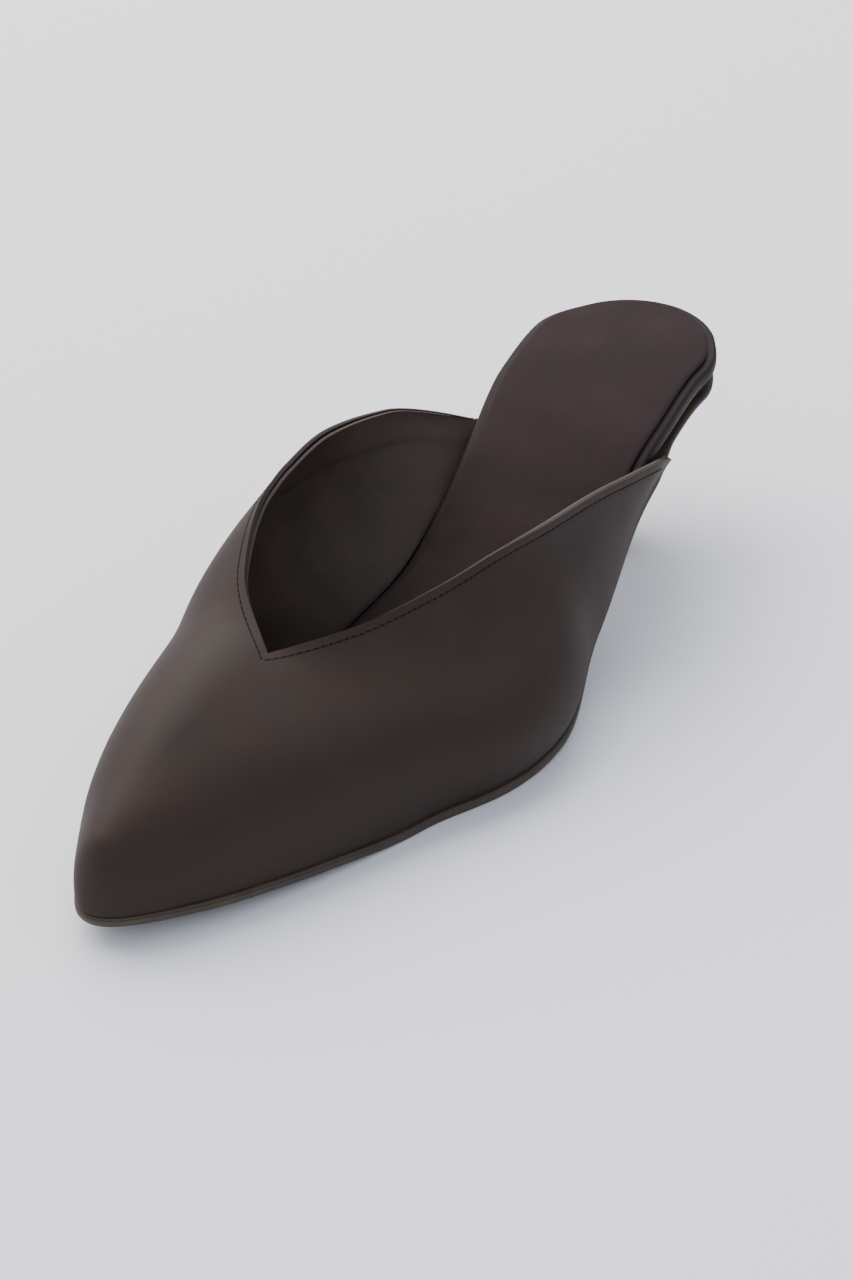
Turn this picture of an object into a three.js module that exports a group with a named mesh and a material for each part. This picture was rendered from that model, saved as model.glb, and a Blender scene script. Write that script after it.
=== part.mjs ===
// Pointed toe mule on a slim covered heel: a left shoe that stands empty on its sole.
// Millimetres. Z is up, the toe points to -Y and the outer side of the foot is +X.
// In the tables "at" is a share of the insole's length, from the back of the heel to the toe.
import * as THREE from 'three';
import { mergeVertices } from 'three/addons/utils/BufferGeometryUtils.js';

// Lengths and widths of the bottom
const INSOLE_LENGTH = 257;
const BALL_WIDTH = 72.3;
const SEAT_HEIGHT = 43.6;
const TOE_SPRING = 6;

// Layers from the floor up, each one's thickness
const FORE_SOLE = 2.6;
const SEAT_SOLE = 1.7;
const RAND_HEIGHT = 3;
const SEAT_INSOLE = 3.8;
const FORE_INSOLE = 2.1;
const SOCK = 1.2;

// How far each layer's edge stands outside the edge of the insole
const FORE_SOLE_MARGIN = 3.1;
const WAIST_SOLE_MARGIN = 2.3;
const SEAT_SOLE_MARGIN = -0.6;
const RAND_MARGIN = -2.6;
const SOCK_MARGIN = -1.4;
const RAND_FRONT = 92;
const RAND_HOLLOW = 4;

// Upper
const UPPER_WALL = 2;
const UPPER_HEIGHT = 54;
const THROAT_BACK = 190;
const OUTER_TIP = 54;
const INNER_TIP = 60;

// Fullness of the upper's sections: how far each end keeps its direction
const VAMP_SIDE = 0.56;
const WING_SIDE = 0.4;
const WING_SHOULDER = 0.32;

// Heel and its top piece
const HEEL_BREAST = 57;
const HEEL_TIP_BACK = 29;
const HEEL_TIP_LENGTH = 15;
const HEEL_TIP_WIDTH = 12.5;
const HEEL_TIP_SHIFT = -1.2;
const HEEL_SEAT_MARGIN = -1.6;
const TIP_HOLLOW = 0.8;
const BREAST_HOLLOW = 3;
const SEAT_HOLLOW = 2;
const TOP_PIECE = 5;

// Powers that shape the plan of the seat's sides and of the heel's tip
const SEAT_SPREAD = 1.2;
const TIP_SIDE_POWER = 0.8;
const TIP_BACK_POWER = 0.9;

// Gaps between neighbours that touch, and round-over of the layers' edges
const SEAM = 0.3;
const FEATHER_SEAM = 0.4;
const EDGE_ROUND = 0.6;
const INSOLE_ROUND = 0.84;
const SOCK_ROUND = 0.36;

// How finely the curved pieces are cut
const OUTLINE_STEPS = 52;
const WING_ROWS = 26;
const VAMP_ROWS = 20;
const WALL_COLUMNS = 11;
const HEEL_RINGS = 12;
const HEEL_SIDE_STEPS = 14;
const BREAST_STEPS = 4;

const HALF_BALL = BALL_WIDTH / 2;

// Edge of the insole seen from above: middle line and half width, shares of half the ball width
const OUTLINE = [
  { at: 0, middle: -0.066, half: 0 },
  { at: 0.04, middle: -0.072, half: 0.537 },
  { at: 0.1, middle: -0.078, half: 0.718 },
  { at: 0.18, middle: -0.018, half: 0.718 },
  { at: 0.28, middle: 0.098, half: 0.674 },
  { at: 0.4, middle: 0.242, half: 0.726 },
  { at: 0.5, middle: 0.28, half: 0.896 },
  { at: 0.6, middle: 0.158, half: 1.008 },
  { at: 0.7, middle: 0.036, half: 0.9 },
  { at: 0.8, middle: 0.031, half: 0.718 },
  { at: 0.9, middle: 0.02, half: 0.482 },
  { at: 0.96, middle: 0.016, half: 0.272 },
  { at: 1, middle: 0, half: 0 },
];

// Underside of the sole seen from the side: shares of the seat height and of the toe spring
const PROFILE = [
  { at: 0, seat: 1, spring: 0 },
  { at: 0.12, seat: 0.936, spring: 0 },
  { at: 0.22, seat: 0.808, spring: 0 },
  { at: 0.345, seat: 0.48, spring: 0 },
  { at: 0.445, seat: 0.195, spring: 0 },
  { at: 0.525, seat: 0.03, spring: 0 },
  { at: 0.59, seat: 0, spring: 0 },
  { at: 0.71, seat: 0, spring: 0 },
  { at: 0.81, seat: 0, spring: 0.33 },
  { at: 0.89, seat: 0, spring: 0.62 },
  { at: 1, seat: 0, spring: 1 },
];

// Where the layers change from their seat thickness to their forepart thickness
const LAYERS = [
  { at: 0, fore: 0, rand: 1, waist: 0, ball: 0 },
  { at: 0.17, fore: 0, rand: 1, waist: 0, ball: 0 },
  { at: 0.24, fore: 0.05, rand: 1, waist: 1, ball: 0 },
  { at: 0.36, fore: 0.4, rand: 0.4, waist: 1, ball: 0 },
  { at: 0.42, fore: 0.7, rand: 0, waist: 1, ball: 0 },
  { at: 0.52, fore: 1, rand: 0, waist: 1, ball: 1 },
  { at: 0.9, fore: 1, rand: 0, waist: 1, ball: 1 },
  { at: 1, fore: 1, rand: 0, waist: 1, ball: 0.25 },
];

// Topline of each side: distance from the long axis as a share of half the ball width, height
// above the sole as a share of the upper's height, and the wall's slope there in degrees
const OUTER_TOPLINE = [
  { at: 0, out: 0.805, up: 0.02, lean: 0 },
  { at: 0.13, out: 0.935, up: 0.28, lean: 0 },
  { at: 0.44, out: 0.837, up: 0.704, lean: 6 },
  { at: 0.6, out: 0.721, up: 0.827, lean: 20 },
  { at: 0.845, out: 0.4, up: 0.756, lean: 42 },
  { at: 1, out: 0, up: 0.693, lean: 68 },
];
const INNER_TOPLINE = [
  { at: 0, out: 0.755, up: 0.024, lean: 0 },
  { at: 0.22, out: 0.978, up: 0.491, lean: -4 },
  { at: 0.47, out: 0.974, up: 0.873, lean: 16 },
  { at: 0.69, out: 0.789, up: 0.99, lean: 40 },
  { at: 0.88, out: 0.483, up: 0.845, lean: 70 },
  { at: 1, out: 0, up: 0.693, lean: 112 },
];

// Middle of the vamp from the throat to the toe: height as a share of the upper's height, how
// many degrees it still climbs towards the inner side, and how full the section's shoulders are
const VAMP = [
  { at: 0.745, up: 0.693, climb: 22, full: 0.84 },
  { at: 0.8, up: 0.658, climb: 21, full: 0.75 },
  { at: 0.86, up: 0.585, climb: 20, full: 0.62 },
  { at: 0.9, up: 0.508, climb: 14, full: 0.58 },
  { at: 0.94, up: 0.425, climb: 6, full: 0.56 },
  { at: 0.97, up: 0.352, climb: 2, full: 0.56 },
  { at: 0.985, up: 0.3, climb: 0, full: 0.56 },
  { at: 1, up: 0, climb: 0, full: 0.56 },
];

// How far the wall leans out where it leaves the sole, in degrees
const FLARE = [
  { at: 0, outer: 0, inner: 40 },
  { at: 0.3, outer: 4, inner: 44 },
  { at: 0.42, outer: 5, inner: 42 },
  { at: 0.5, outer: 24, inner: 31 },
  { at: 0.6, outer: 32, inner: 12 },
  { at: 0.68, outer: 20, inner: 13 },
  { at: 0.75, outer: 12, inner: 20 },
  { at: 0.9, outer: 4, inner: 19 },
  { at: 1, outer: 4, inner: 4 },
];

// How the heel grows from its tip to its seat, going up
const HEEL_FLARE = [
  { at: 0, grown: 0 },
  { at: 0.3, grown: 0.1 },
  { at: 0.55, grown: 0.34 },
  { at: 0.75, grown: 0.6 },
  { at: 0.9, grown: 0.82 },
  { at: 1, grown: 1 },
];

// A smooth curve through one column of a table, which never swings past its rows
function column(rows, name, place = (share) => share) {
  const at = rows.map((row) => place(row.at));
  const value = rows.map((row) => row[name]);
  const last = rows.length - 1;
  const rise = at.slice(1).map((end, i) => (value[i + 1] - value[i]) / (end - at[i]));
  const slope = value.map((_, i) => {
    const before = rise[Math.max(i - 1, 0)];
    const after = rise[Math.min(i, last - 1)];
    return before * after > 0 ? (2 * before * after) / (before + after) : 0;
  });
  return (share) => {
    const x = THREE.MathUtils.clamp(share, at[0], at[last]);
    const i = Math.min(at.findLastIndex((start) => start <= x), last - 1);
    const step = at[i + 1] - at[i];
    const t = (x - at[i]) / step;
    const start = value[i] * (1 + 2 * t) + slope[i] * step * t;
    const end = value[i + 1] * (3 - 2 * t) - slope[i + 1] * step * (1 - t);
    return start * (1 - t) ** 2 + end * t ** 2;
  };
}

// A turn from 0 at the heel to 1 at the toe, which steps finely round both ends
const turnAt = (share) => Math.acos(1 - 2 * share) / Math.PI;
const shareAt = (turn) => (1 - Math.cos(Math.PI * turn)) / 2;

const middleAt = column(OUTLINE, 'middle', turnAt);
const halfAt = column(OUTLINE, 'half', turnAt);
const seatRise = column(PROFILE, 'seat');
const springRise = column(PROFILE, 'spring');
const fore = column(LAYERS, 'fore');
const randShare = column(LAYERS, 'rand');
const waist = column(LAYERS, 'waist');
const ball = column(LAYERS, 'ball');
const flareAt = { 1: column(FLARE, 'outer'), [-1]: column(FLARE, 'inner') };
const vampUp = column(VAMP, 'up', turnAt);
const vampClimb = column(VAMP, 'climb', turnAt);
const shoulderAt = column(VAMP, 'full', turnAt);
const heelGrown = column(HEEL_FLARE, 'grown');

const topline = (rows) => ({
  out: column(rows, 'out'),
  up: column(rows, 'up'),
  lean: column(rows, 'lean'),
});
const toplines = { 1: topline(OUTER_TOPLINE), [-1]: topline(INNER_TOPLINE) };

// Heights of the layers at a distance from the back of the heel
const shareOf = (along) => THREE.MathUtils.clamp(along / INSOLE_LENGTH, 0, 1);
const soleBottom = (along) => {
  const share = shareOf(along);
  return SEAT_HEIGHT * seatRise(share) + TOE_SPRING * springRise(share);
};
const soleTop = (along) => {
  const thickness = THREE.MathUtils.lerp(SEAT_SOLE, FORE_SOLE, fore(shareOf(along)));
  return soleBottom(along) + thickness;
};
const randTop = (along) => soleTop(along) + SEAM + RAND_HEIGHT * randShare(shareOf(along));
const insoleBottom = (along) => {
  const share = randShare(shareOf(along));
  return soleTop(along) + SEAM + (RAND_HEIGHT + SEAM) * share;
};
const insoleTop = (along) => {
  const thickness = THREE.MathUtils.lerp(SEAT_INSOLE, FORE_INSOLE, fore(shareOf(along)));
  return insoleBottom(along) + thickness;
};

// Point on an outline that stands a margin outside the insole's edge; side is 1 outside, -1 inside
function edge(side, turn, margin) {
  const place = (at) => new THREE.Vector2(
    HALF_BALL * (middleAt(at) + side * halfAt(at)),
    INSOLE_LENGTH * shareAt(at),
  );
  const here = place(turn);
  const nudge = 1e-3;
  const along = place(Math.min(turn + nudge, 1)).sub(place(Math.max(turn - nudge, 0)));
  if (turn === 0 || turn === 1) {
    along.set(side * (1 - 2 * turn), 0);
  }
  const outward = new THREE.Vector2(along.y, -along.x).multiplyScalar(side).normalize();
  return here.addScaledVector(outward, margin);
}

const vertex = (across, along, height) => new THREE.Vector3(across, -along, height);

// Closed loop round the whole bottom: toe, outer side, heel, inner side
function bottomLoop(marginAt, heightAt) {
  const loop = [];
  for (let i = 0; i < 2 * OUTLINE_STEPS; i += 1) {
    const side = i <= OUTLINE_STEPS ? 1 : -1;
    const turn = Math.abs(OUTLINE_STEPS - i) / OUTLINE_STEPS;
    const share = shareAt(turn);
    const { x, y } = edge(side, turn, marginAt(share));
    loop.push(vertex(x, y, heightAt(y)));
  }
  return loop;
}

// Closed loop round the seat: middle of a hollow front, outer side, back, inner side
function seatLoop(front, margin, hollow, heightAt) {
  const frontTurn = turnAt(front / INSOLE_LENGTH);
  const sidePoints = (side) => Array.from({ length: HEEL_SIDE_STEPS }, (_, i) => {
    const left = i / HEEL_SIDE_STEPS;
    return edge(side, frontTurn * (1 - left ** SEAT_SPREAD), margin);
  });
  return closeFront(sidePoints(1), edge(1, 0, margin), sidePoints(-1), hollow, heightAt);
}

// Adds the hollow front to two sides and a back point, and lifts the loop to its height
function closeFront(outer, back, inner, hollow, heightAt) {
  const frontLine = (from, to) => Array.from({ length: BREAST_STEPS }, (_, i) => {
    const fromMiddle = i / BREAST_STEPS;
    const point = from.clone().lerp(to, fromMiddle);
    point.y -= hollow * (1 - fromMiddle ** 2);
    return point;
  });
  const middle = outer[0].clone().lerp(inner[0], 0.5);
  const flat = [
    ...frontLine(middle, outer[0]),
    ...outer,
    back,
    ...inner.slice().reverse(),
    ...frontLine(middle, inner[0]).slice(1).reverse(),
  ];
  return flat.map(({ x, y }) => vertex(x, y, heightAt(y)));
}

function surface(points, faces) {
  const geometry = new THREE.BufferGeometry();
  const positions = new Float32Array(points.flatMap((point) => point.toArray()));
  geometry.setAttribute('position', new THREE.BufferAttribute(positions, 3));
  geometry.setIndex(faces.flat());
  const merged = mergeVertices(geometry, 1e-4);
  const index = Array.from(merged.index.array);
  const kept = [];
  for (let i = 0; i < index.length; i += 3) {
    const [a, b, c] = index.slice(i, i + 3);
    if (a !== b && b !== c && c !== a) {
      kept.push(a, b, c);
    }
  }
  merged.setIndex(kept);
  merged.computeVertexNormals();
  return merged;
}

// Closed body from loops stacked upward, capped by strips that run from side to side
function stack(loops) {
  const count = loops[0].length;
  const half = count / 2;
  const faces = [];
  const quad = (a, b, c, d) => faces.push([a, b, c], [a, c, d]);
  for (let k = 0; k < loops.length - 1; k += 1) {
    for (let i = 0; i < count; i += 1) {
      const next = (i + 1) % count;
      quad(k * count + i, k * count + next, (k + 1) * count + next, (k + 1) * count + i);
    }
  }
  const top = (loops.length - 1) * count;
  for (let i = 0; i < half; i += 1) {
    const across = (count - i) % count;
    const nextAcross = count - i - 1;
    quad(top + i, top + i + 1, top + nextAcross, top + across);
    quad(across, nextAcross, i + 1, i);
  }
  return surface(loops.flat(), faces);
}

// Layer of the bottom with its edge rounded over
function layer(marginAt, bottomAt, topAt, round) {
  const inset = (share) => marginAt(share) - round;
  return stack([
    bottomLoop(inset, bottomAt),
    bottomLoop(marginAt, (along) => bottomAt(along) + round),
    bottomLoop(marginAt, (along) => topAt(along) - round),
    bottomLoop(inset, topAt),
  ]);
}

function outsole() {
  const marginAt = (share) => SEAT_SOLE_MARGIN
    + (WAIST_SOLE_MARGIN - SEAT_SOLE_MARGIN) * waist(share)
    + (FORE_SOLE_MARGIN - WAIST_SOLE_MARGIN) * ball(share);
  return layer(marginAt, soleBottom, soleTop, EDGE_ROUND);
}

function rand() {
  return stack([
    seatLoop(RAND_FRONT, RAND_MARGIN, RAND_HOLLOW, (along) => soleTop(along) + SEAM),
    seatLoop(RAND_FRONT, RAND_MARGIN, RAND_HOLLOW, randTop),
  ]);
}

function insole() {
  return layer(() => 0, insoleBottom, insoleTop, INSOLE_ROUND);
}

function sock() {
  const bottomAt = (along) => insoleTop(along) + SEAM;
  return layer(() => SOCK_MARGIN, bottomAt, (along) => bottomAt(along) + SOCK, SOCK_ROUND);
}

// Where one side of the upper ends above: on its topline, or on the crown ahead of the throat
function wallTop(side, turn, throatTurn) {
  const share = shareAt(turn);
  const along = share * INSOLE_LENGTH;
  if (turn >= throatTurn) {
    const ahead = (turn - throatTurn) / (1 - throatTurn);
    return {
      across: 0,
      along: along + (UPPER_WALL + FEATHER_SEAM) * ahead ** 2,
      height: UPPER_HEIGHT * vampUp(turn),
      lean: THREE.MathUtils.degToRad(90 - side * vampClimb(turn)),
    };
  }
  const tip = side > 0 ? OUTER_TIP : INNER_TIP;
  const line = toplines[side];
  const place = (along - tip) / (THROAT_BACK - tip);
  return {
    across: side * HALF_BALL * line.out(place),
    along,
    height: UPPER_HEIGHT * line.up(place),
    lean: THREE.MathUtils.degToRad(line.lean(place)),
  };
}

// One section of the upper's outer face, from the sole up to its top
function wallSection(side, turn, throatTurn) {
  const foot = edge(side, turn, UPPER_WALL + FEATHER_SEAM);
  const top = wallTop(side, turn, throatTurn);
  const footHeight = soleTop(foot.y) + SEAM;
  const rise = top.height;
  const run = Math.abs(foot.x - top.across);
  const flare = THREE.MathUtils.degToRad(flareAt[side](shareAt(turn)));
  const bend = Math.sin(top.lean);
  const steep = Math.cos(top.lean);
  const lowReach = rise * (VAMP_SIDE * bend + WING_SIDE * Math.abs(steep));
  const highReach = shoulderAt(turn) * run * bend + WING_SHOULDER * rise * Math.abs(steep);
  const topHeight = soleTop(top.along) + SEAM + rise;
  const curve = new THREE.CubicBezierCurve3(
    vertex(foot.x, foot.y, footHeight),
    vertex(
      foot.x + side * lowReach * Math.sin(flare),
      foot.y,
      footHeight + lowReach * Math.cos(flare),
    ),
    vertex(
      top.across + side * highReach * bend,
      top.along,
      topHeight - highReach * steep,
    ),
    vertex(top.across, top.along, topHeight),
  );
  return curve.getPoints(WALL_COLUMNS);
}

// Hollow wall from one face: a second face lies a wall's thickness inside, and edges join them
function thicken(sheet, wall) {
  const outer = sheet.getAttribute('position');
  const normal = sheet.getAttribute('normal');
  const count = outer.count;
  const points = [];
  const inner = [];
  for (let i = 0; i < count; i += 1) {
    const point = new THREE.Vector3().fromBufferAttribute(outer, i);
    points.push(point);
    inner.push(point.clone().addScaledVector(new THREE.Vector3().fromBufferAttribute(normal, i), -wall));
  }
  const index = Array.from(sheet.index.array);
  const faces = [];
  const edges = new Set();
  for (let i = 0; i < index.length; i += 3) {
    const [a, b, c] = index.slice(i, i + 3);
    faces.push([a, b, c], [a + count, c + count, b + count]);
    edges.add(`${a} ${b}`).add(`${b} ${c}`).add(`${c} ${a}`);
  }
  edges.forEach((name) => {
    const [a, b] = name.split(' ').map(Number);
    if (!edges.has(`${b} ${a}`)) {
      faces.push([b, a, a + count], [b, a + count, b + count]);
    }
  });
  return surface([...points, ...inner], faces);
}

function upper() {
  const throatTurn = turnAt(THROAT_BACK / INSOLE_LENGTH);
  const points = [];
  const faces = [];
  [1, -1].forEach((side) => {
    const tip = side > 0 ? OUTER_TIP : INNER_TIP;
    const tipTurn = turnAt(tip / INSOLE_LENGTH);
    const turns = [];
    for (let i = 0; i < WING_ROWS; i += 1) {
      turns.push(THREE.MathUtils.lerp(tipTurn, throatTurn, i / WING_ROWS));
    }
    for (let i = 0; i <= VAMP_ROWS; i += 1) {
      turns.push(THREE.MathUtils.lerp(throatTurn, 1, i / VAMP_ROWS));
    }
    const start = points.length;
    turns.forEach((turn) => points.push(...wallSection(side, turn, throatTurn)));
    const width = WALL_COLUMNS + 1;
    for (let row = 0; row < turns.length - 1; row += 1) {
      for (let i = 0; i < WALL_COLUMNS; i += 1) {
        const a = start + row * width + i;
        const quad = [[a, a + 1, a + width + 1], [a, a + width + 1, a + width]];
        faces.push(...(side > 0 ? quad : quad.map((face) => face.slice().reverse())));
      }
    }
  });
  return thicken(surface(points, faces), UPPER_WALL);
}

// Tip of the heel seen from above: hollow front, round back
function tipLoop(heightAt) {
  const halfWidth = HEEL_TIP_WIDTH / 2;
  const sidePoints = (side) => Array.from({ length: HEEL_SIDE_STEPS }, (_, i) => {
    const angle = (i / HEEL_SIDE_STEPS) * (Math.PI / 2);
    return new THREE.Vector2(
      HEEL_TIP_SHIFT + side * halfWidth * Math.cos(angle) ** TIP_SIDE_POWER,
      HEEL_TIP_BACK + HEEL_TIP_LENGTH * (1 - Math.sin(angle) ** TIP_BACK_POWER),
    );
  });
  const back = new THREE.Vector2(HEEL_TIP_SHIFT, HEEL_TIP_BACK);
  return closeFront(sidePoints(1), back, sidePoints(-1), TIP_HOLLOW, heightAt);
}

function heel() {
  const tip = tipLoop(() => 0);
  const seat = seatLoop(HEEL_BREAST, HEEL_SEAT_MARGIN, SEAT_HOLLOW, () => 0);
  const rings = [];
  for (let k = 0; k <= HEEL_RINGS; k += 1) {
    const up = k / HEEL_RINGS;
    const hollow = BREAST_HOLLOW * Math.sin(Math.PI * up);
    rings.push(tip.map((start, i) => {
      const point = start.clone().lerp(seat[i], heelGrown(up));
      const fromMiddle = Math.min(i, tip.length - i) / BREAST_STEPS;
      point.y += hollow * Math.max(1 - fromMiddle ** 2, 0);
      point.z = THREE.MathUtils.lerp(TOP_PIECE + SEAM, soleBottom(-point.y) - SEAM, up);
      return point;
    }));
  }
  return stack(rings);
}

function topPiece() {
  return stack([tipLoop(() => 0), tipLoop(() => TOP_PIECE)]);
}

function piece(name, geometry, colour, roughness) {
  const material = new THREE.MeshStandardMaterial({ color: colour, roughness, metalness: 0 });
  const mesh = new THREE.Mesh(geometry, material);
  mesh.name = name;
  return mesh;
}

const shoe = new THREE.Group();
shoe.add(
  piece('upper', upper(), 0x40342f, 0.42),
  piece('outsole', outsole(), 0x6a5846, 0.7),
  piece('rand', rand(), 0x1c1a19, 0.6),
  piece('insole', insole(), 0x3c3634, 0.45),
  piece('sock', sock(), 0x443a3a, 0.75),
  piece('heel', heel(), 0x3a3330, 0.42),
  piece('top_piece', topPiece(), 0x26211e, 0.8),
);

// The origin is the middle of the shoe's box, on the floor
const box = new THREE.Box3().setFromObject(shoe);
const centre = box.getCenter(new THREE.Vector3());
shoe.position.set(-centre.x, -centre.y, -box.min.z);

export default shoe;
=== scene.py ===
"""Pointed toe mule, a left shoe: leather, lining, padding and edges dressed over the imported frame.

Lengths in the tables and constants are millimetres; s runs from the back of the heel to the toe."""
import math
import bpy
from mathutils import Matrix, Vector


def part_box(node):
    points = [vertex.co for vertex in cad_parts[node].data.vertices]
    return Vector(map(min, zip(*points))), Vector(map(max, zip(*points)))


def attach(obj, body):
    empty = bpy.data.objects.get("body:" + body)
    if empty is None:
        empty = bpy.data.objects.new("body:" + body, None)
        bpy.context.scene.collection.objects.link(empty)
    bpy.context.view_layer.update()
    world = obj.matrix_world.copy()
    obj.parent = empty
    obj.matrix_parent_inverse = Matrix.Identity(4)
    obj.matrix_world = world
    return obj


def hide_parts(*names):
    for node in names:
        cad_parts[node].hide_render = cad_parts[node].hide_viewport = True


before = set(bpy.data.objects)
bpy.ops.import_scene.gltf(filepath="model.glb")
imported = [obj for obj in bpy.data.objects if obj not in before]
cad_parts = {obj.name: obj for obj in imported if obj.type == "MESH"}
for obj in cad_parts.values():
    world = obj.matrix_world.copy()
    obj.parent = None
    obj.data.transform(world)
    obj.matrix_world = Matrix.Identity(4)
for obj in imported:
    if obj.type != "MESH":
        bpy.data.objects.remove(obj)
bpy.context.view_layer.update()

MM = 0.001

# The last: the same named sizes and tables as the part

INSOLE_LENGTH = 257
HALF_BALL = 72.3 / 2
SEAT_HEIGHT = 43.6
TOE_SPRING = 6
FORE_SOLE, SEAT_SOLE = 2.6, 1.7
RAND_HEIGHT = 3
SEAT_INSOLE, FORE_INSOLE = 3.8, 2.1
SOCK = 1.2
FORE_SOLE_MARGIN, WAIST_SOLE_MARGIN, SEAT_SOLE_MARGIN = 3.1, 2.3, -0.6
RAND_MARGIN, SOCK_MARGIN = -2.6, -1.4
RAND_FRONT, RAND_HOLLOW = 92, 4
UPPER_WALL, UPPER_HEIGHT = 2, 54
THROAT_BACK = 190
TIP = {1: 54, -1: 60}
VAMP_SIDE, WING_SIDE, WING_SHOULDER = 0.56, 0.4, 0.32
HEEL_BREAST = 57
HEEL_TIP_BACK, HEEL_TIP_LENGTH, HEEL_TIP_WIDTH, HEEL_TIP_SHIFT = 29, 15, 12.5, -1.2
HEEL_SEAT_MARGIN = -1.6
TIP_HOLLOW, BREAST_HOLLOW, SEAT_HOLLOW = 0.8, 3, 2
TOP_PIECE = 5
SEAT_SPREAD, TIP_SIDE_POWER, TIP_BACK_POWER = 1.2, 0.8, 0.9
SEAM, FEATHER_SEAM = 0.3, 0.4


def table(names, *rows):
    return [dict(zip(names.split(), row)) for row in rows]


OUTLINE = table(
    "at middle half",
    (0, -0.066, 0), (0.04, -0.072, 0.537), (0.1, -0.078, 0.718), (0.18, -0.018, 0.718),
    (0.28, 0.098, 0.674), (0.4, 0.242, 0.726), (0.5, 0.28, 0.896), (0.6, 0.158, 1.008),
    (0.7, 0.036, 0.9), (0.8, 0.031, 0.718), (0.9, 0.02, 0.482), (0.96, 0.016, 0.272), (1, 0, 0))
PROFILE = table(
    "at seat spring",
    (0, 1, 0), (0.12, 0.936, 0), (0.22, 0.808, 0), (0.345, 0.48, 0), (0.445, 0.195, 0),
    (0.525, 0.03, 0), (0.59, 0, 0), (0.71, 0, 0), (0.81, 0, 0.33), (0.89, 0, 0.62), (1, 0, 1))
LAYERS = table(
    "at fore rand waist ball",
    (0, 0, 1, 0, 0), (0.17, 0, 1, 0, 0), (0.24, 0.05, 1, 1, 0), (0.36, 0.4, 0.4, 1, 0),
    (0.42, 0.7, 0, 1, 0), (0.52, 1, 0, 1, 1), (0.9, 1, 0, 1, 1), (1, 1, 0, 1, 0.25))
TOPLINE = {
    1: table(
        "at out up lean",
        (0, 0.805, 0.02, 0), (0.13, 0.935, 0.28, 0), (0.44, 0.837, 0.704, 6),
        (0.6, 0.721, 0.827, 20), (0.845, 0.4, 0.756, 42), (1, 0, 0.693, 68)),
    -1: table(
        "at out up lean",
        (0, 0.755, 0.024, 0), (0.22, 0.978, 0.491, -4), (0.47, 0.974, 0.873, 16),
        (0.69, 0.789, 0.99, 40), (0.88, 0.483, 0.845, 70), (1, 0, 0.693, 112)),
}
VAMP = table(
    "at up climb full",
    (0.745, 0.693, 22, 0.84), (0.8, 0.658, 21, 0.75), (0.86, 0.585, 20, 0.62),
    (0.9, 0.508, 14, 0.58), (0.94, 0.425, 6, 0.56), (0.97, 0.352, 2, 0.56),
    (0.985, 0.3, 0, 0.56), (1, 0, 0, 0.56))
FLARE = table(
    "at outer inner",
    (0, 0, 40), (0.3, 4, 44), (0.42, 5, 42), (0.5, 24, 31), (0.6, 32, 12), (0.68, 20, 13),
    (0.75, 12, 20), (0.9, 4, 19), (1, 4, 4))
HEEL_FLARE = table(
    "at grown",
    (0, 0), (0.3, 0.1), (0.55, 0.34), (0.75, 0.6), (0.9, 0.82), (1, 1))


def column(rows, name, place=lambda share: share):
    """A smooth curve through one column of a table, which never swings past its rows."""
    at = [place(row["at"]) for row in rows]
    value = [row[name] for row in rows]
    last = len(rows) - 1
    rise = [(value[i + 1] - value[i]) / (at[i + 1] - at[i]) for i in range(last)]
    slope = []
    for i in range(last + 1):
        before, after = rise[max(i - 1, 0)], rise[min(i, last - 1)]
        slope.append(2 * before * after / (before + after) if before * after > 0 else 0)

    def curve(share):
        x = min(max(share, at[0]), at[last])
        i = min(max(k for k in range(last + 1) if at[k] <= x), last - 1)
        step = at[i + 1] - at[i]
        t = (x - at[i]) / step
        start = value[i] * (1 + 2 * t) + slope[i] * step * t
        end = value[i + 1] * (3 - 2 * t) - slope[i + 1] * step * (1 - t)
        return start * (1 - t) ** 2 + end * t ** 2
    return curve


def turn_at(share):
    return math.acos(1 - 2 * share) / math.pi


def share_at(turn):
    return (1 - math.cos(math.pi * turn)) / 2


def lerp(start, end, share):
    return start + (end - start) * share


middle_at = column(OUTLINE, "middle", turn_at)
half_at = column(OUTLINE, "half", turn_at)
seat_rise, spring_rise = column(PROFILE, "seat"), column(PROFILE, "spring")
fore, rand_share = column(LAYERS, "fore"), column(LAYERS, "rand")
waist, ball = column(LAYERS, "waist"), column(LAYERS, "ball")
flare_at = {1: column(FLARE, "outer"), -1: column(FLARE, "inner")}
vamp_up, vamp_climb = column(VAMP, "up", turn_at), column(VAMP, "climb", turn_at)
shoulder_at = column(VAMP, "full", turn_at)
heel_grown = column(HEEL_FLARE, "grown")
topline = {side: {name: column(rows, name) for name in ("out", "up", "lean")}
           for side, rows in TOPLINE.items()}


def bell(distance, width):
    return math.exp(-(distance / width) ** 2)


def share_of(s):
    return min(max(s / INSOLE_LENGTH, 0), 1)


def sole_bottom(s):
    return SEAT_HEIGHT * seat_rise(share_of(s)) + TOE_SPRING * spring_rise(share_of(s))


def sole_top(s):
    return sole_bottom(s) + lerp(SEAT_SOLE, FORE_SOLE, fore(share_of(s)))


def rand_top(s):
    return sole_top(s) + SEAM + RAND_HEIGHT * rand_share(share_of(s))


def insole_bottom(s):
    return sole_top(s) + SEAM + (RAND_HEIGHT + SEAM) * rand_share(share_of(s))


def insole_top(s):
    return insole_bottom(s) + lerp(SEAT_INSOLE, FORE_INSOLE, fore(share_of(s)))


def sole_margin(share):
    return (SEAT_SOLE_MARGIN + (WAIST_SOLE_MARGIN - SEAT_SOLE_MARGIN) * waist(share)
            + (FORE_SOLE_MARGIN - WAIST_SOLE_MARGIN) * ball(share))


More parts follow.
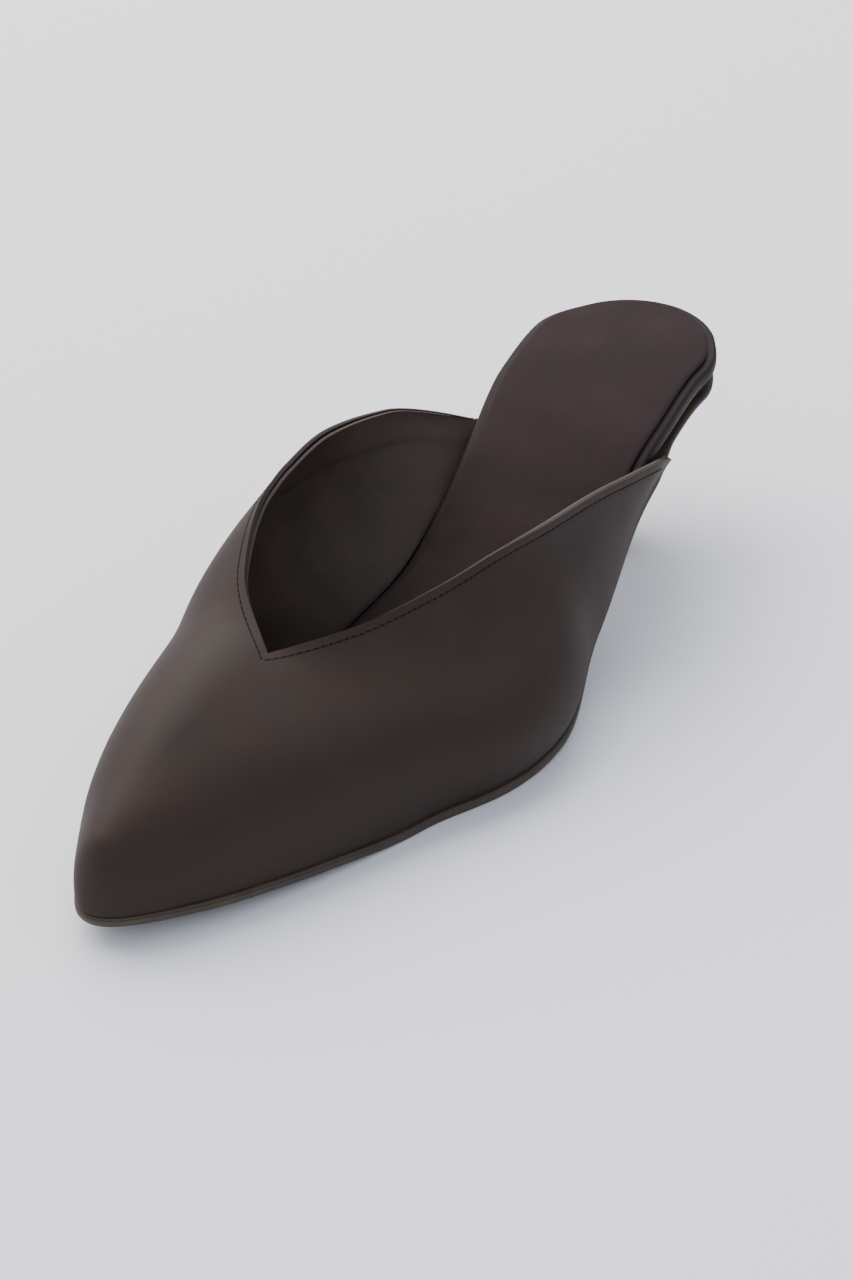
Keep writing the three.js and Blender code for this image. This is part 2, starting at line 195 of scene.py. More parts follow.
def edge(side, turn, margin):
    """Point (across, s) a margin outside the insole's edge; side is 1 outside, -1 inside."""
    def place(at):
        across = HALF_BALL * (middle_at(at) + side * half_at(at))
        return Vector((across, INSOLE_LENGTH * share_at(at)))
    nudge = 1e-3
    if turn in (0, 1):
        along = Vector((side * (1 - 2 * turn), 0))
    else:
        along = place(min(turn + nudge, 1)) - place(max(turn - nudge, 0))
    outward = side * Vector((along.y, -along.x)).normalized()
    return place(turn) + outward * margin


# The frame's place: the insole's back edge is s = 0, and the top piece is centred on its shift
SHIFT_X = (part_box("top_piece")[0][0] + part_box("top_piece")[1][0]) / 2 / MM - HEEL_TIP_SHIFT
SHIFT_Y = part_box("insole")[1][1] / MM


def point(across, s, height):
    return Vector((across + SHIFT_X, SHIFT_Y - s, height))


# Modelling

def alone():
    bpy.ops.object.select_all(action="DESELECT")


def choose(*pieces):
    alone()
    for piece in pieces:
        piece.select_set(True)
    bpy.context.view_layer.objects.active = pieces[0]


WELD = 0.002
BEVEL_STEPS = 2


def sheet(name, rows):
    """A grid shaped row by row into its place, with its seams and ends welded."""
    alone()
    bpy.ops.mesh.primitive_grid_add(x_subdivisions=len(rows[0]) - 1,
                                    y_subdivisions=len(rows) - 1, size=1)
    piece = bpy.context.object
    piece.name = piece.data.name = name
    piece.data.vertices.foreach_set("co", [c * MM for row in rows for p in row for c in p])
    bpy.ops.object.mode_set(mode="EDIT")
    bpy.ops.mesh.select_all(action="SELECT")
    bpy.ops.mesh.remove_doubles(threshold=WELD * MM)
    bpy.ops.mesh.normals_make_consistent(inside=False)
    bpy.ops.object.mode_set(mode="OBJECT")
    return piece


def finish_with(piece, kind, **settings):
    choose(piece)
    modifier = piece.modifiers.new(kind.title(), kind)
    for name, value in settings.items():
        setattr(modifier, name, value)
    bpy.ops.object.modifier_apply(modifier=modifier.name)


def soften(piece, width, angle=40):
    """Rounds the corners sharper than an angle."""
    finish_with(piece, "BEVEL", width=width * MM, segments=BEVEL_STEPS, limit_method="ANGLE",
                angle_limit=math.radians(angle), harden_normals=False)


def dress(piece, slot, *materials, angle=50):
    """Gives a finished piece its materials and smooth shading, and rides it on the shoe."""
    piece.data.materials.clear()
    for material in materials:
        piece.data.materials.append(material)
    choose(piece)
    bpy.ops.object.shade_smooth_by_angle(angle=math.radians(angle))
    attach(piece, "root")


# The bottom's layers: a ring of points at each station from the heel to the toe

STATIONS = 150
ACROSS = 14


def bottom_layer(name, margin_at, bottom_at, top_at, rim, crown=lambda share, across: 0):
    """rim lists (millimetres outside the margin, share of the height) from the bottom up."""
    rows = []
    for station in range(STATIONS + 1):
        turn = station / STATIONS
        share = share_at(turn)
        sides = {}
        for side in (1, -1):
            sides[side] = []
            for out, up in rim:
                spot = edge(side, turn, margin_at(share) + out)
                height = lerp(bottom_at(spot.y), top_at(spot.y), up)
                sides[side].append(point(spot.x, spot.y, height))

        def across(start, end, height_at, lift):
            inner = []
            for step in range(1, ACROSS):
                spot = start.lerp(end, step / ACROSS)
                s = SHIFT_Y - spot.y
                spot.z = height_at(s) + lift(share, 2 * step / ACROSS - 1)
                inner.append(spot)
            return inner

        top = across(sides[1][-1], sides[-1][-1], top_at, crown)
        bottom = across(sides[-1][0], sides[1][0], bottom_at, lambda share, across: 0)
        rows.append(sides[1] + top + sides[-1][::-1] + bottom + sides[1][:1])
    return sheet(name, rows)


# How full a rounded edge is; 1 would be a true half round
ROUND_FULLNESS = 0.6


def half_round(depth, steps):
    """Rim that bulges: 0 at its fullest, -depth at the corners."""
    rim = []
    for step in range(steps + 1):
        angle = math.pi * (step / steps - 0.5)
        rim.append((depth * (math.cos(angle) ** ROUND_FULLNESS - 1), 0.5 + 0.5 * math.sin(angle)))
    return rim


# The upper's faces

def wall_top(side, turn, throat_turn):
    """Across, s, height and lean of the top of the wall: the topline, or the crown ahead of it."""
    s = share_at(turn) * INSOLE_LENGTH
    if turn >= throat_turn - 1e-9:
        ahead = (turn - throat_turn) / (1 - throat_turn)
        return (0, s + (UPPER_WALL + FEATHER_SEAM) * ahead ** 2, UPPER_HEIGHT * vamp_up(turn),
                math.radians(90 - side * vamp_climb(turn)))
    at = (s - TIP[side]) / (THROAT_BACK - TIP[side])
    line = topline[side]
    return (side * HALF_BALL * line["out"](at), s, UPPER_HEIGHT * line["up"](at),
            math.radians(line["lean"](at)))


def wall_curve(side, turn, throat_turn):
    """The wall's section as the four points of a curve, from the feather to the top."""
    foot = edge(side, turn, UPPER_WALL + FEATHER_SEAM)
    across, s, rise, lean = wall_top(side, turn, throat_turn)
    foot_height = sole_top(foot.y) + SEAM
    run = abs(foot.x - across)
    flare = math.radians(flare_at[side](share_at(turn)))
    bend, steep = math.sin(lean), math.cos(lean)
    low = rise * (VAMP_SIDE * bend + WING_SIDE * abs(steep))
    high = shoulder_at(turn) * run * bend + WING_SHOULDER * rise * abs(steep)
    top = sole_top(s) + SEAM + rise
    return (Vector((foot.x, foot.y, foot_height)),
            Vector((foot.x + side * low * math.sin(flare), foot.y,
                    foot_height + low * math.cos(flare))),
            Vector((across + side * high * bend, s, top - high * steep)),
            Vector((across, s, top)))


def on_curve(curve, t):
    a, b, c, d = curve
    return a * (1 - t) ** 3 + b * 3 * t * (1 - t) ** 2 + c * 3 * t ** 2 * (1 - t) + d * t ** 3


LENGTH_STEPS = 24


def curve_length(curve):
    spots = [on_curve(curve, k / LENGTH_STEPS) for k in range(LENGTH_STEPS + 1)]
    return sum((b - a).length for a, b in zip(spots, spots[1:]))


WING_STATIONS = 76
VAMP_STATIONS = 54
TOP_CROWDING = 1.5
CROWN_WELD = 0.004
# Ahead of this the vamp's highest face looks up, which tells the outer side of the leather
VAMP_FRONT_Y = -70
# At the wings' tips the lining's edge sits this many times lower again, over this reach
TIP_DROP, TIP_REACH = 3, 5
# The drop fades out over this length before the throat, and leaves part of a short wall
DROP_FADE, MOST_DROP = 6, 0.6


# How the surface is eased round the throat
FAIR_CENTRE = 194
FAIR_REACH = 24
FAIR_FADE = 7
FAIR_ROUNDS = 120
# Open edges this far above the sole are the topline's, which stays put
RIM_ABOVE_SOLE = 8


def wall_turns(side, throat_turn):
    tip_turn = turn_at(TIP[side] / INSOLE_LENGTH)
    wing = [lerp(tip_turn, throat_turn, k / WING_STATIONS) for k in range(WING_STATIONS)]
    vamp = [lerp(throat_turn, 1, k / VAMP_STATIONS) for k in range(VAMP_STATIONS + 1)]
    return wing + vamp


def fair_round_throat(piece):
    """Eases the last's surface where the wings meet the vamp; the edges and the toe stay."""
    choose(piece)
    open_edges = set()
    count = {}
    for face in piece.data.polygons:
        for key in face.edge_keys:
            count[key] = count.get(key, 0) + 1
    for key, uses in count.items():
        if uses == 1:
            open_edges.update(key)
    rim = [piece.data.vertices[i].co.copy() for i in open_edges
           if piece.data.vertices[i].co.z > (sole_top(THROAT_BACK) + RIM_ABOVE_SOLE) * MM]
    group = piece.vertex_groups.new(name="throat")
    for vertex in piece.data.vertices:
        if vertex.index in open_edges:
            continue
        s = SHIFT_Y - vertex.co.y / MM
        weight = bell(s - FAIR_CENTRE, FAIR_REACH)
        if weight < 0.02:
            continue
        from_rim = min((vertex.co - spot).length for spot in rim) / MM
        group.add([vertex.index], weight * min(from_rim / FAIR_FADE, 1), "REPLACE")
    finish_with(piece, "SMOOTH", factor=0.5, iterations=FAIR_ROUNDS, vertex_group="throat")


def wall_sheet(name, columns, drop=0.0, relief=None):
    """The upper's outer face, both sides welded down the crown; its topline may sit lower by drop,
    and by more at the wings' tips, where the edge turns down steeply.

    relief(side, s, below the topline, share up the wall) moves a point along the wall's normal."""
    throat_turn = turn_at(THROAT_BACK / INSOLE_LENGTH)
    halves = []
    for side in (1, -1):
        rows = []
        for turn in wall_turns(side, throat_turn):
            curve = wall_curve(side, turn, throat_turn)
            length = max(curve_length(curve), 0.5)
            s = share_at(turn) * INSOLE_LENGTH
            fade = min(max((THROAT_BACK - s) / DROP_FADE, 0), 1) if turn < throat_turn else 0
            lower = drop * fade * (1 + TIP_DROP * bell(s - TIP[side], TIP_REACH))
            end = 1 - min(lower / length, MOST_DROP)
            row = []
            for k in range(columns + 1):
                t = end * (1 - (1 - k / columns) ** TOP_CROWDING)
                spot = on_curve(curve, t)
                if relief:
                    ahead = on_curve(curve, min(t + 0.01, 1))
                    behind = on_curve(curve, max(t - 0.01, 0))
                    up = (ahead - behind).normalized()
                    outward = Vector((side * up.z, 0, -side * up.x))
                    below = length * (1 - t)
                    spot += outward * relief(side, s, below, t)
                row.append(point(*spot))
            rows.append(row if side > 0 else row[::-1])
        halves.append(sheet(name if side > 0 else name + "_inner_half", rows))
    choose(*halves)
    bpy.ops.object.join()
    piece = bpy.context.object
    bpy.ops.object.mode_set(mode="EDIT")
    bpy.ops.mesh.select_all(action="SELECT")
    bpy.ops.mesh.remove_doubles(threshold=CROWN_WELD * MM)
    bpy.ops.mesh.normals_make_consistent(inside=False)
    bpy.ops.object.mode_set(mode="OBJECT")
    vamp = [face for face in piece.data.polygons if face.center.y < VAMP_FRONT_Y * MM]
    highest = max(vamp, key=lambda face: face.center.z)
    if highest.normal.z < 0:
        bpy.ops.object.mode_set(mode="EDIT")
        bpy.ops.mesh.select_all(action="SELECT")
        bpy.ops.mesh.flip_normals()
        bpy.ops.object.mode_set(mode="OBJECT")
    fair_round_throat(piece)
    return piece


# Materials

def linear(code):
    """sRGB hex to a linear colour."""
    parts = [int(code[i:i + 2], 16) / 255 for i in (0, 2, 4)]
    return [p / 12.92 if p <= 0.04045 else ((p + 0.055) / 1.055) ** 2.4 for p in parts] + [1]


def add(tree, kind, sockets=None, **settings):
    """Adds a node with its settings; a socket takes a value or another node's output."""
    new = tree.nodes.new(kind)
    for name, value in settings.items():
        setattr(new, name, value)
    for name, value in (sockets or {}).items():
        if isinstance(value, bpy.types.NodeSocket):
            tree.links.new(value, new.inputs[name])
        else:
            new.inputs[name].default_value = value
    return new


# How far the gloss drifts, the finest grain and the broad rolls, the last two in millimetres
GLOSS_DRIFT = 0.06
FINE_GRAIN = 0.45
BROAD_ROLL = 9
FINISH_IOR = 1.5


def leather(name, dark, light, roughness, grain=0.9, grain_depth=0.05, mottle=18,
            coat=0.0, coat_roughness=0.3, crease=0.0, specular=0.5, nap=0.0):
    """Leather: a mottle of two close colours, a fine pebble grain and a roughness that drifts."""
    material = bpy.data.materials.new(name)
    material.use_nodes = True
    tree = material.node_tree
    tree.nodes.clear()
    place = add(tree, "ShaderNodeTexCoord").outputs["Object"]
    cloud = add(tree, "ShaderNodeTexNoise",
                {"Vector": place, "Scale": 1 / (mottle * MM), "Detail": 4.0, "Roughness": 0.55})
    colours = add(tree, "ShaderNodeValToRGB", {"Fac": cloud.outputs["Fac"]})
    colours.color_ramp.elements[0].position = 0.3
    colours.color_ramp.elements[0].color = linear(dark)
    colours.color_ramp.elements[1].position = 0.72
    colours.color_ramp.elements[1].color = linear(light)
    gloss = add(tree, "ShaderNodeMapRange",
                {"Value": cloud.outputs["Fac"], "From Min": 0.3, "From Max": 0.7,
                 "To Min": roughness - GLOSS_DRIFT, "To Max": roughness + GLOSS_DRIFT})
    pebble = add(tree, "ShaderNodeTexVoronoi",
                 {"Vector": place, "Scale": 1 / (grain * MM), "Randomness": 1.0}, feature="F1")
    fine = add(tree, "ShaderNodeTexNoise",
               {"Vector": place, "Scale": 1 / (FINE_GRAIN * MM), "Detail": 3.0, "Roughness": 0.6})
    mixed = add(tree, "ShaderNodeMix", {"Factor": 0.5}, data_type="FLOAT")
    tree.links.new(pebble.outputs["Distance"], mixed.inputs[2])
    tree.links.new(fine.outputs["Fac"], mixed.inputs[3])
    height = mixed.outputs[0]
    if crease:
        broad = add(tree, "ShaderNodeTexNoise",
                    {"Vector": place, "Scale": 1 / (BROAD_ROLL * MM), "Detail": 2.0,
                     "Roughness": 0.45, "Distortion": 0.4})
        rolled = add(tree, "ShaderNodeBump",
                     {"Height": broad.outputs["Fac"], "Strength": 1.0, "Distance": crease * MM})
        bump = add(tree, "ShaderNodeBump",
                   {"Height": height, "Strength": 1.0, "Distance": grain_depth * MM,
                    "Normal": rolled.outputs["Normal"]})
    else:
        bump = add(tree, "ShaderNodeBump",
                   {"Height": height, "Strength": 1.0, "Distance": grain_depth * MM})
    shader = add(tree, "ShaderNodeBsdfPrincipled",
                 {"Base Color": colours.outputs["Color"], "Roughness": gloss.outputs["Result"],
                  "Normal": bump.outputs["Normal"], "IOR": FINISH_IOR, "Coat Weight": coat,
                  "Coat Roughness": coat_roughness, "Specular IOR Level": specular,
                  "Sheen Weight": nap, "Sheen Roughness": 0.5})
    add(tree, "ShaderNodeOutputMaterial", {"Surface": shader.outputs["BSDF"]})
    return material


# Box calf, smooth and wax finished: a deep brown with a soft even gloss
box_calf = leather("box_calf", "271c18", "2f231e", 0.66, grain_depth=0.03, coat=0.03,
                   coat_roughness=0.4, crease=0.08, specular=0.2)
# Cut edge of the calf, left raw and inked: a paler, dry line. Its pale tone is partly a painted
# highlight where the edge catches the light
edge_tone_and_highlight = leather("edge_tone_and_highlight", "64574f", "75675e", 0.62, grain=0.5, grain_depth=0.04)
# Lining goatskin, matte and slightly reddish
lining_skin = leather("lining_skin", "352925", "40322d", 0.6, grain=1.1, grain_depth=0.05,
                      crease=0.2, specular=0.4)
# Sock of soft padded lining leather: reddish brown, matte, faint nap
sock_skin = leather("sock_skin", "2a2121", "342a2b", 0.8, grain=1.2, grain_depth=0.05, crease=0.15,
                    specular=0.06, nap=0.02)
# Calf wrapped round the insole's edge: darker than the sock, stretched smooth, with little gloss
wrapped_calf = leather("wrapped_calf", "1a1412", "221a18", 0.62, grain_depth=0.02, coat=0.02,
                       coat_roughness=0.4, specular=0.15)
# The same calf pasted over the heel block, polished a little more than the vamp
heel_calf = leather("heel_calf", "241916", "2c201b", 0.55, grain_depth=0.02, coat=0.05,
                    coat_roughness=0.35, specular=0.3)
# Dark filler in the recess between the insole's edge and the sole. Its near-black colour is partly
# painted shade under the wrapped edge
recess_filler_and_shade = leather("recess_filler_and_shade", "121110", "191716", 0.7, grain=0.5, grain_depth=0.03)
# Vegetable tanned sole leather: its cut edge is olive brown and dry
sole_bend = leather("sole_bend", "2a2118", "423423", 0.58, grain=0.6, grain_depth=0.06, mottle=7)
# Rubber of the heel's wearing piece
heel_rubber = leather("heel_rubber", "1b1816", "23201e", 0.75, grain=0.6, grain_depth=0.03)
# Bonded polyester thread, darker than the calf
thread = leather("thread", "1a1412", "241c19", 0.8, grain=0.3, grain_depth=0.03, specular=0.15)
# Near-black bead between two stitches: painted shade of the hole that the needle leaves
needle_hole_shade = leather("needle_hole_shade", "070605", "0c0a09", 0.9, grain=0.3, grain_depth=0.02,
                      specular=0.05)


# Upper: calf outside, lining inside, stitched along the topline

CALF = 1.1
LINING = 0.8
LINING_DROP = 0.5
CEMENT = 0.05
STITCH_INSET = 2.1
# The stitches pull a soft groove into the calf, and the topline's tape lifts the lining
GROOVE_DEPTH, GROOVE_WIDTH = 0.16, 0.6
TAPE_DEPTH, TAPE_RISE, TAPE_EDGE, TAPE_FADE = 10, 0.3, 0.35, 8


# Soft troughs (-) and ridges (+) of the lasted calf: side, s, share up the wall, reach along the
# shoe and up the wall, and how deep
WAVES = table(
    "side s up reach_s reach_up rise",
    (1, 150, 0.35, 26, 0.22, -0.25),
    (1, 182, 0.3, 16, 0.25, 0.15),
    (1, 208, 0.45, 14, 0.2, -0.15),
    (1, 112, 0.5, 14, 0.3, 0.2),
    (1, 90, 0.6, 9, 0.35, -0.2),
    (-1, 206, 0.4, 14, 0.25, -0.15),
    (-1, 140, 0.4, 22, 0.3, -0.25),
    (-1, 168, 0.5, 14, 0.3, 0.15))


def calf_relief(side, s, below, up):
    rise = 0
    if s < THROAT_BACK + 1:
        rise -= GROOVE_DEPTH * bell(below - STITCH_INSET, GROOVE_WIDTH)
    for wave in WAVES:
        if wave["side"] == side:
            rise += (wave["rise"] * bell(s - wave["s"], wave["reach_s"])
                     * bell(up - wave["up"], wave["reach_up"]) * math.sin(math.pi * min(up, 1)))
    return rise


def lining_relief(side, s, below, up):
    """The topline's tape lifts the lining inward a little, down to a soft step."""
    taped = 1 / (1 + math.exp((below - TAPE_DEPTH) / TAPE_EDGE))
    return -TAPE_RISE * taped * min(max((THROAT_BACK - s) / TAPE_FADE, 0), 1)


calf = wall_sheet("upper_calf", 40, relief=calf_relief)
finish_with(calf, "SOLIDIFY", thickness=CALF * MM, offset=-1, use_rim=True, material_offset_rim=1)
soften(calf, 0.16)
# The calf's rim takes the pale edge colour, which is partly a painted highlight
dress(calf, "upper_leather", box_calf, edge_tone_and_highlight)
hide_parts("upper")

skin = wall_sheet("upper_lining", 60, drop=LINING_DROP, relief=lining_relief)
finish_with(skin, "DISPLACE", strength=-(CALF + CEMENT) * MM, mid_level=0, direction="NORMAL")
finish_with(skin, "SOLIDIFY", thickness=LINING * MM, offset=-1, use_rim=True, material_offset_rim=1)
soften(skin, 0.18)
# The lining's rim takes the same pale edge colour, which is partly a painted highlight
dress(skin, "upper_leather", lining_skin, edge_tone_and_highlight)


# Lockstitch along the topline, with a dark bead between the stitches that is painted shade of each
# needle hole
STITCH_PITCH = 1.9
STITCH_LENGTH, STITCH_WIDTH, STITCH_HEIGHT = 1.5, 0.4, 0.34
HOLE_WIDTH, HOLE_HEIGHT = 0.62, 0.16
SUNK = 0.03
SHORTEST_WALL = 7
# How far the rows run on past the throat, in small steps, and how far back they may meet
ONWARD_STEP, ONWARD_POINTS, NEAR_POINTS = 0.2, 24, 36


def inset_row(side):
    """Points and normals of one side's stitch row, run on a little past the throat."""
    throat_turn = turn_at(THROAT_BACK / INSOLE_LENGTH)
    tops = []
    for turn in wall_turns(side, throat_turn)[2:WING_STATIONS + 1]:
        curve = wall_curve(side, turn, throat_turn)
        if curve_length(curve) < SHORTEST_WALL:
            continue
        top = point(*on_curve(curve, 1))
        up = (top - point(*on_curve(curve, 0.97))).normalized()
        tops.append((top, up, Vector((side * up.z, 0, -side * up.x))))
    row = []
    for (before, _, _), (top, up, out), (after, _, _) in zip(tops, tops[1:], tops[2:]):
        down = out.cross(after - before).normalized()
        row.append((top + down * math.copysign(STITCH_INSET, -down.dot(up)), out))
    (last, out), (before, _) = row[-1], row[-2]
    onward = (last - before).normalized() * ONWARD_STEP
    return row + [(last + onward * k, out) for k in range(1, ONWARD_POINTS + 1)]


def stitch_line():
    """The two sides' rows, each cut where they meet below the throat."""
    outer, inner = inset_row(1), inset_row(-1)
    near = range(-NEAR_POINTS, 0)
    i, j = min(((i, j) for i in near for j in near),
               key=lambda pair: (outer[pair[0]][0] - inner[pair[1]][0]).length)
    return outer[:i], inner[:j]


def along_row(start):
    """Places at the stitch pitch along the row, seated on the calf: centre, along, out, across."""
    places = []
    for row in stitch_line():
        travelled = start
        for (a, n), (b, _) in zip(row, row[1:]):
            gap = (b - a).length
            while travelled < gap:
                centre = a.lerp(b, travelled / gap)
                _, spot, normal, _ = calf.closest_point_on_mesh(centre * MM)
                if normal.dot(n) > 0.3:
                    centre, n = spot / MM, normal
                along = (b - a).normalized()
                out = (n - along * n.dot(along)).normalized()
                places.append((centre, along, out, along.cross(out)))
                travelled += STITCH_PITCH
            travelled -= gap
    return places


def repeated(name, places, length, width, height):
    """One small bead is modelled and repeated at each place, stretched along the row."""
    alone()
    bpy.ops.mesh.primitive_uv_sphere_add(segments=8, ring_count=6, radius=0.5)
    bead = bpy.context.object
    shape = [vertex.co.copy() for vertex in bead.data.vertices]
    faces = [tuple(face.vertices) for face in bead.data.polygons]
    bpy.ops.object.delete()
    points, all_faces = [], []
    for centre, along, out, across in places:
        start = len(points)
        points += [centre + along * v.x * length + across * v.y * width
                   + out * (v.z * height - SUNK) for v in shape]
        all_faces += [tuple(start + i for i in face) for face in faces]
    mesh = bpy.data.meshes.new(name)
    mesh.from_pydata([p * MM for p in points], [], all_faces)
    piece = bpy.data.objects.new(name, mesh)
    bpy.context.scene.collection.objects.link(piece)
    return piece


stitches = repeated("topline_stitches", along_row(STITCH_PITCH / 2),
                    STITCH_LENGTH, STITCH_WIDTH, STITCH_HEIGHT)
dress(stitches, "upper_leather", thread)
# Dark beads between the stitches: painted shade of the needle holes
hole_shade_beads = repeated("topline_needle_hole_shade", along_row(STITCH_PITCH),
                 HOLE_WIDTH, HOLE_WIDTH, HOLE_HEIGHT)
dress(hole_shade_beads, "upper_leather", needle_hole_shade)


# Bottom

# Sole leather: bevelled at the bottom, with a fine channel pressed round its edge
sole = bottom_layer(
    "sole_leather", sole_margin, sole_bottom, sole_top,
    [(-0.9, 0), (-0.35, 0.05), (-0.05, 0.22), (0, 0.5), (-0.02, 0.66), (-0.22, 0.72), (-0.22, 0.76),
     (-0.02, 0.82), (-0.12, 0.9), (-0.8, 1)])
dress(sole, "sole_leather", sole_bend)
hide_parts("outsole")

# The calf's lasting allowance, drawn in under the insole: it closes the feather all round
ALLOWANCE_EDGE, ALLOWANCE_TUCK = 2.38, -4
ALLOWANCE_BACK, ALLOWANCE_FADE = 0.245, 0.03
ALLOWANCE_LOW, ALLOWANCE_HIGH = 0.04, 0.26


def allowance_margin(share):
    out = (share - ALLOWANCE_BACK + ALLOWANCE_FADE) / ALLOWANCE_FADE
    return lerp(ALLOWANCE_TUCK, ALLOWANCE_EDGE, min(max(out, 0), 1))


allowance = bottom_layer(
    "upper_allowance", allowance_margin, lambda s: sole_top(s) + ALLOWANCE_LOW,
    lambda s: sole_top(s) + ALLOWANCE_HIGH, [(-0.1, 0), (0, 0.5), (-0.1, 1)])
dress(allowance, "upper_leather", box_calf)

# Wrapped insole: the calf turns round the board's edge in a full round
WRAP_DEPTH, WRAP_STEPS = 1.1, 8
wrapped = bottom_layer("insole_wrapped", lambda share: 0, insole_bottom, insole_top,
                       half_round(WRAP_DEPTH, WRAP_STEPS))
dress(wrapped, "insole_wrap", wrapped_calf)
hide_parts("insole")

PAD_LIFT = 1.0
# The sock's skin is turned in round its foam, so the wrapped edge shows all round it
PAD_INSET = 1.1


def pad_crown(share, across):
    """The foam lifts the sock inside its edge, most at the seat and under the ball."""
    lift = 0.55 + 0.45 * bell(share - 0.1, 0.14) + 0.25 * bell(share - 0.58, 0.14)
    ends = min(1, 12 * share + 0.15, 10 * (1 - share) + 0.1)
    return PAD_LIFT * lift * (1 - abs(across) ** 5) * ends


pad = bottom_layer(
    "sock_padded", lambda share: SOCK_MARGIN - PAD_INSET,
    lambda s: insole_top(s) + SEAM, lambda s: insole_top(s) + SEAM + SOCK,
    [(-0.5, 0), (-0.08, 0.18), (0, 0.42), (-0.12, 0.66), (-0.45, 0.88), (-1.1, 1), (-2.2, 1.12)],
    crown=pad_crown)
dress(pad, "sock_leather", sock_skin)
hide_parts("sock")


# Heel, its top piece and the recess: rings from a hollow front, round the back

SIDE_STEPS = 44
BREAST_STEPS = 10


def close_front(outer, back, inner, hollow):
    """Joins two sides and the back by a hollow front; points are (across, s)."""
    def front(start, end):
        line = []
        for k in range(BREAST_STEPS):
            share = k / BREAST_STEPS
            spot = start.lerp(end, share)
            spot.y -= hollow * (1 - share ** 2)
            line.append(spot)
        return line
    middle = outer[0].lerp(inner[0], 0.5)
    return (front(middle, outer[0]) + outer + [back] + inner[::-1]
            + front(middle, inner[0])[1:][::-1])


def seat_loop(front, margin, hollow):
    front_turn = turn_at(front / INSOLE_LENGTH)

    def side_points(side):
        return [edge(side, front_turn * (1 - (k / SIDE_STEPS) ** SEAT_SPREAD), margin)
                for k in range(SIDE_STEPS)]
    return close_front(side_points(1), edge(1, 0, margin), side_points(-1), hollow)


def tip_loop():
    half = HEEL_TIP_WIDTH / 2

    def side_points(side):
        spots = []
        for k in range(SIDE_STEPS):
            angle = k / SIDE_STEPS * math.pi / 2
            across = HEEL_TIP_SHIFT + side * half * math.cos(angle) ** TIP_SIDE_POWER
            s = HEEL_TIP_BACK + HEEL_TIP_LENGTH * (1 - math.sin(angle) ** TIP_BACK_POWER)
            spots.append(Vector((across, s)))
        return spots
    back = Vector((HEEL_TIP_SHIFT, HEEL_TIP_BACK))
    return close_front(side_points(1), back, side_points(-1), TIP_HOLLOW)


def ring_stack(name, rings):
    """Rings of points stacked up, each end closed down its middle line."""
    def closed(ring):
        return [spot.lerp(ring[-i], 0.5) for i, spot in enumerate(ring)]

    def shrunk(ring, share):
        return [a.lerp(b, share) for a, b in zip(ring, closed(ring))]

    rows = ([closed(rings[0]), shrunk(rings[0], 0.5)] + rings
            + [shrunk(rings[-1], 0.5), closed(rings[-1])])
    return sheet(name, [row + row[:1] for row in rows])


HEEL_RINGS = 40


def heel_rings():
    tip = tip_loop()
    seat = seat_loop(HEEL_BREAST, HEEL_SEAT_MARGIN, SEAT_HOLLOW)
    rings = []
    for k in range(HEEL_RINGS + 1):
        up = k / HEEL_RINGS
        hollow = BREAST_HOLLOW * math.sin(math.pi * up)
        ring = []
        for i, start in enumerate(tip):
            spot = start.lerp(seat[i], heel_grown(up))
            from_middle = min(i, len(tip) - i) / BREAST_STEPS
            spot.y -= hollow * max(1 - from_middle ** 2, 0)
            height = lerp(TOP_PIECE + SEAM, sole_bottom(spot.y) - SEAM, up)
            ring.append(point(spot.x, spot.y, height))
        rings.append(ring)
    return rings


def flat_rings(loop, heights):
    return [[point(spot.x, spot.y, height(spot.y)) for spot in loop] for height in heights]


cover = ring_stack("heel_covered", heel_rings())
soften(cover, 0.35, angle=55)
dress(cover, "heel_cover", heel_calf, angle=40)
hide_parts("heel")

wearing = ring_stack("top_piece_rubber", flat_rings(tip_loop(), [
    lambda s: 0, lambda s: 1.6, lambda s: 3.4, lambda s: TOP_PIECE]))
soften(wearing, 0.3, angle=55)
dress(wearing, "top_rubber", heel_rubber, angle=40)
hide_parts("top_piece")

recess = ring_stack("rand_recess", flat_rings(seat_loop(RAND_FRONT, RAND_MARGIN, RAND_HOLLOW), [
    lambda s: sole_top(s) + SEAM, lambda s: lerp(sole_top(s) + SEAM, rand_top(s), 0.5), rand_top]))
# The recess is near black, which is partly painted shade under the wrapped edge
dress(recess, "rand_black", recess_filler_and_shade, angle=40)
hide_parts("rand")


# Floor, light and camera

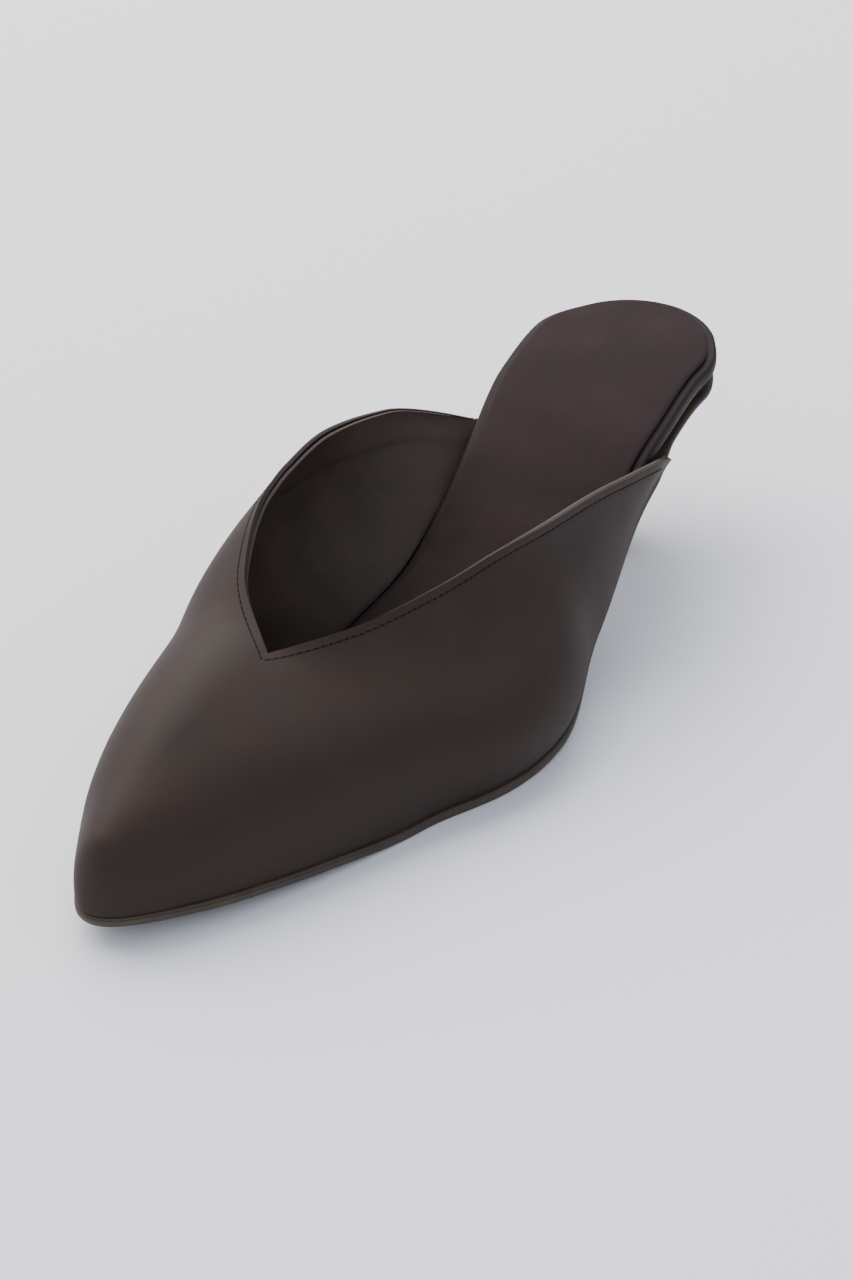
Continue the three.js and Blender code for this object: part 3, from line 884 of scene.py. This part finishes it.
def plain(name, code, roughness):
    """Matte paper of one even colour."""
    material = bpy.data.materials.new(name)
    material.use_nodes = True
    tree = material.node_tree
    shader = tree.nodes["Principled BSDF"]
    shader.inputs["Base Color"].default_value = linear(code)
    shader.inputs["Roughness"].default_value = roughness
    return material


FLOOR_SIZE = 8
ROOM_LIGHT = 1.03

alone()
bpy.ops.mesh.primitive_plane_add(size=FLOOR_SIZE)
floor = bpy.context.object
floor.name = "paper_floor"
floor.data.materials.append(plain("backdrop_paper", "f2f4fa", 0.9))

world = bpy.data.worlds.new("pale_room")
world.use_nodes = True
world.node_tree.nodes["Background"].inputs["Color"].default_value = linear("e2e9f4")
world.node_tree.nodes["Background"].inputs["Strength"].default_value = ROOM_LIGHT
bpy.context.scene.world = world


def softbox(name, place, aim, width, height, watts, code):
    alone()
    bpy.ops.object.light_add(type="AREA", location=place)
    light = bpy.context.object
    light.name = name
    light.data.shape = "RECTANGLE"
    light.data.size, light.data.size_y = width, height
    light.data.energy = watts
    light.data.color = linear(code)[:3]
    light.rotation_euler = (Vector(aim) - Vector(place)).to_track_quat("-Z", "Y").to_euler()


softbox("window_light", (-1.15, 0.45, 1.5), (0, 0, 0.02), 2.8, 2.2, 82, "fff5ee")
softbox("fill_light", (0.9, -1.2, 1.0), (0, 0, 0.03), 1.4, 1.0, 4, "f4f6ff")

# Where the photograph was taken from
CAMERA_PLACE = Vector((401.5, -625.9, 459.3)) * MM
CAMERA_AIM = Vector((0, -2, 17)) * MM
CAMERA_ROLL = math.radians(0.3)
LENS = 100

camera_data = bpy.data.cameras.new("camera")
camera_data.lens = LENS
camera_data.sensor_width = 36
camera_data.clip_start = 0.01
camera = bpy.data.objects.new("camera", camera_data)
bpy.context.scene.collection.objects.link(camera)
turn = (CAMERA_AIM - CAMERA_PLACE).to_track_quat("-Z", "Y").to_matrix().to_4x4()
camera.matrix_world = Matrix.Translation(CAMERA_PLACE) @ turn @ Matrix.Rotation(CAMERA_ROLL, 4, "Z")
bpy.context.scene.camera = camera
